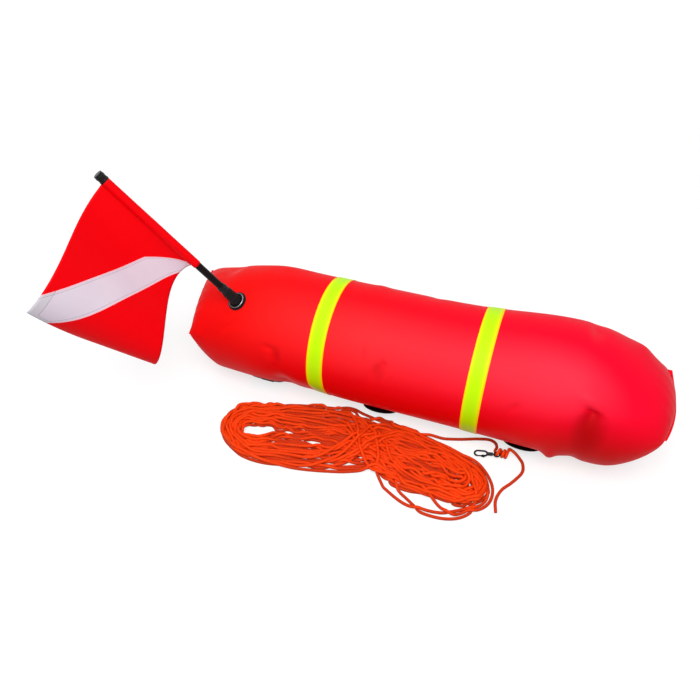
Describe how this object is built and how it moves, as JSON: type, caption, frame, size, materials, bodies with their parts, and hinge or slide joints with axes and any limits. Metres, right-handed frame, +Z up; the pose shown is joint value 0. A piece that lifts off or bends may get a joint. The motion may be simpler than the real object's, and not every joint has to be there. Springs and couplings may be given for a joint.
{
  "type": "dive flag float",
  "caption": "Inflatable torpedo float with a tilted flag staff, reflective tape bands, D-ring anchors, oral valve and a hank of floating line with a swivel snap.",
  "frame": {"origin": "middle of the flat strip the float rests on, halfway between its two tape bands", "axes": "+X along the float from its flag end to its valve end, +Z up, -Y toward the hank and the D-rings"},
  "size_m": [0.9501, 0.4857, 0.4598],
  "materials": {
    "coated_fabric": "satin coated",
    "reflective_tape": "fluorescent, retroreflective",
    "black_webbing": "woven",
    "black_plastic": "moulded",
    "black_rubber": "moulded",
    "bright_metal": "bright",
    "flag_cloth": "coated cloth",
    "flag_stripe": "coated cloth",
    "floating_line": "braided"
  },
  "bodies": {
    "float": {"float_skin": "coated_fabric", "tape_band_left": "reflective_tape", "tape_band_right": "reflective_tape", "anchor_patch_1": "black_rubber", "anchor_patch_2": "black_rubber", "anchor_patch_3": "black_rubber", "anchor_webbing_1": "black_webbing", "anchor_webbing_2": "black_webbing", "anchor_webbing_3": "black_webbing", "socket_flange": "black_rubber", "socket_clamp_ring": "bright_metal", "socket_boot": "black_rubber", "valve_flange": "black_rubber", "valve_barrel": "black_plastic", "valve_check_disc": "black_rubber", "line_hank": "floating_line", "line_lead": "floating_line", "line_knot": "floating_line", "line_tail": "floating_line", "hook_eye": "black_plastic"},
    "ring_1": {"d_ring_1": "black_plastic"},
    "ring_2": {"d_ring_2": "black_plastic"},
    "ring_3": {"d_ring_3": "black_plastic"},
    "staff": {"flag_pole": "black_plastic", "pole_ferrule": "black_plastic", "pole_cap": "black_plastic"},
    "flag": {"flag_upper_panel": "flag_cloth", "flag_stripe": "flag_stripe", "flag_lower_panel": "flag_cloth"},
    "valve": {"valve_knob": "black_plastic"},
    "hook": {"hook_body": "black_plastic", "hook_gate_pin": "bright_metal"},
    "gate": {"hook_gate": "black_plastic"}
  },
  "joints": [
    {"name": "ring_1_swing", "type": "hinge", "parent": "float", "child": "ring_1", "pos_m": [-0.26277, -0.05607, 0.00917], "axis": [1, 0, 0], "range_deg": [-165, 0]},
    {"name": "ring_2_swing", "type": "hinge", "parent": "float", "child": "ring_2", "pos_m": [-0.03003, -0.0559, 0.00881], "axis": [1, 0, 0], "range_deg": [-165, 0]},
    {"name": "ring_3_swing", "type": "hinge", "parent": "float", "child": "ring_3", "pos_m": [0.23394, -0.05917, 0.00977], "axis": [1, 0, 0], "range_deg": [-165, 0]},
    {"name": "staff_pull", "type": "slide", "parent": "float", "child": "staff", "axis": [-0.5142, -0.2571, 0.8183], "range_m": [0, 0.03]},
    {"name": "flag_turn", "type": "hinge", "parent": "staff", "child": "flag", "pos_m": [-0.32179, -0.06609, 0.21654], "axis": [-0.5142, -0.2571, 0.8183], "continuous": true},
    {"name": "valve_twist", "type": "hinge", "parent": "float", "child": "valve", "pos_m": [0.30345, 0.11758, 0.11698], "axis": [0.0289, 0.9996, 0], "range_deg": [0, 90]},
    {"name": "hook_swivel", "type": "hinge", "parent": "float", "child": "hook", "pos_m": [0.19715, -0.0949, 0.00875], "axis": [-0.9844, -0.0999, -0.1449], "continuous": true},
    {"name": "gate_swing", "type": "hinge", "parent": "hook", "child": "gate", "pos_m": [0.17569, -0.10291, 0.0055], "axis": [-0.1442, -0.0146, 0.9894], "range_deg": [-35, 0], "stiffness_Nm_per_rad": 0.0005, "springref_deg": 20.05}
  ]
}
